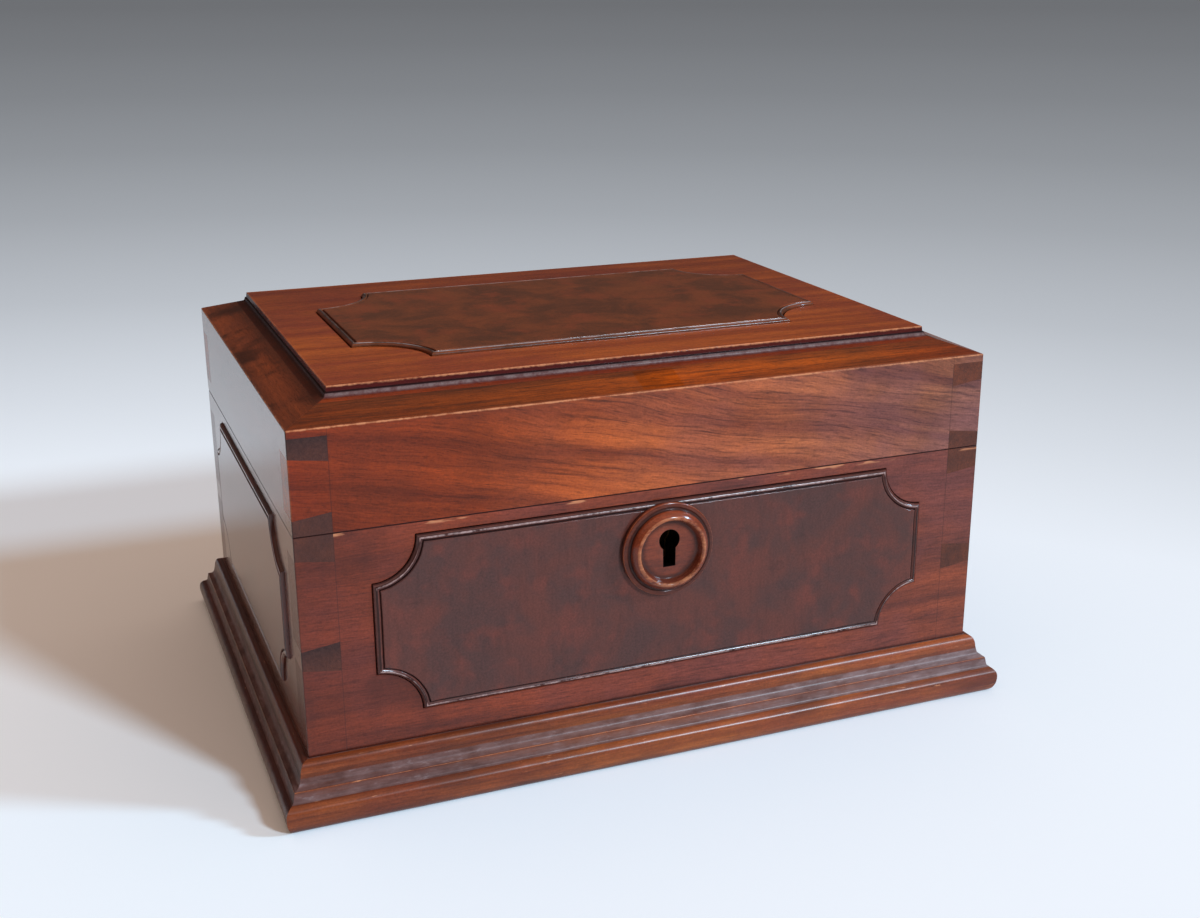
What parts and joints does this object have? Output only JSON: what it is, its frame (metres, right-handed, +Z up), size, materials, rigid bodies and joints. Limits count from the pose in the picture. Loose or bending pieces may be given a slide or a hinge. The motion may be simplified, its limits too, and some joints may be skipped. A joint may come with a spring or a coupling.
{
  "type": "desk letter box",
  "caption": "Lidded wooden box for letters and papers on a desk, with dovetailed corners, a moulded plinth, shaped burl fields, a turned keyhole surround, a box lock and a hinged lid",
  "frame": {"origin": "under the middle of the plinth, on the plane it stands on", "axes": "+X to the right along the front, -Y out of the front with the keyhole, +Z up"},
  "size_m": [0.2916, 0.2236, 0.1524],
  "materials": {
    "front_boards": "waxed, straight grain",
    "side_boards": "waxed, straight grain",
    "top_wood": "waxed, straight grain",
    "burl_field": "waxed burl",
    "plinth_wood": "waxed, worn",
    "turned_wood": "waxed",
    "bottom_wood": "bare",
    "peg_wood": "bare",
    "brass": "dull, aged",
    "spring_steel": "blued"
  },
  "bodies": {
    "case": {"back_field": "burl_field", "bottom_pegs": "peg_wood", "case_back_board": "front_boards", "case_bottom_board": "bottom_wood", "case_front_board": "front_boards", "case_left_board": "side_boards", "case_right_board": "side_boards", "escutcheon": "turned_wood", "front_field": "burl_field", "left_field": "burl_field", "left_hinge_case_leaf": "brass", "left_hinge_case_screws": "brass", "left_hinge_pin": "brass", "lock_case": "brass", "lock_plate": "brass", "lock_screws": "brass", "lock_spring": "spring_steel", "lock_stumps": "brass", "plinth_back": "plinth_wood", "plinth_front": "plinth_wood", "plinth_left": "plinth_wood", "plinth_right": "plinth_wood", "right_field": "burl_field", "right_hinge_case_leaf": "brass", "right_hinge_case_screws": "brass", "right_hinge_pin": "brass"},
    "lid": {"left_hinge_lid_leaf": "brass", "left_hinge_lid_screws": "brass", "lid_back_board": "front_boards", "lid_front_board": "front_boards", "lid_left_board": "side_boards", "lid_right_board": "side_boards", "lid_top_board": "top_wood", "link_plate": "brass", "link_screws": "brass", "right_hinge_lid_leaf": "brass", "right_hinge_lid_screws": "brass", "top_field": "burl_field"},
    "bolt": {"lock_bolt": "brass"}
  },
  "joints": [
    {"name": "lid_hinge", "type": "hinge", "parent": "case", "child": "lid", "pos_m": [0, 0.099, 0.105], "axis": [-1, 0, 0], "range_deg": [0, 96]},
    {"name": "bolt_slide", "type": "slide", "parent": "case", "child": "bolt", "axis": [1, 0, 0], "range_m": [0, 0.005]}
  ]
}
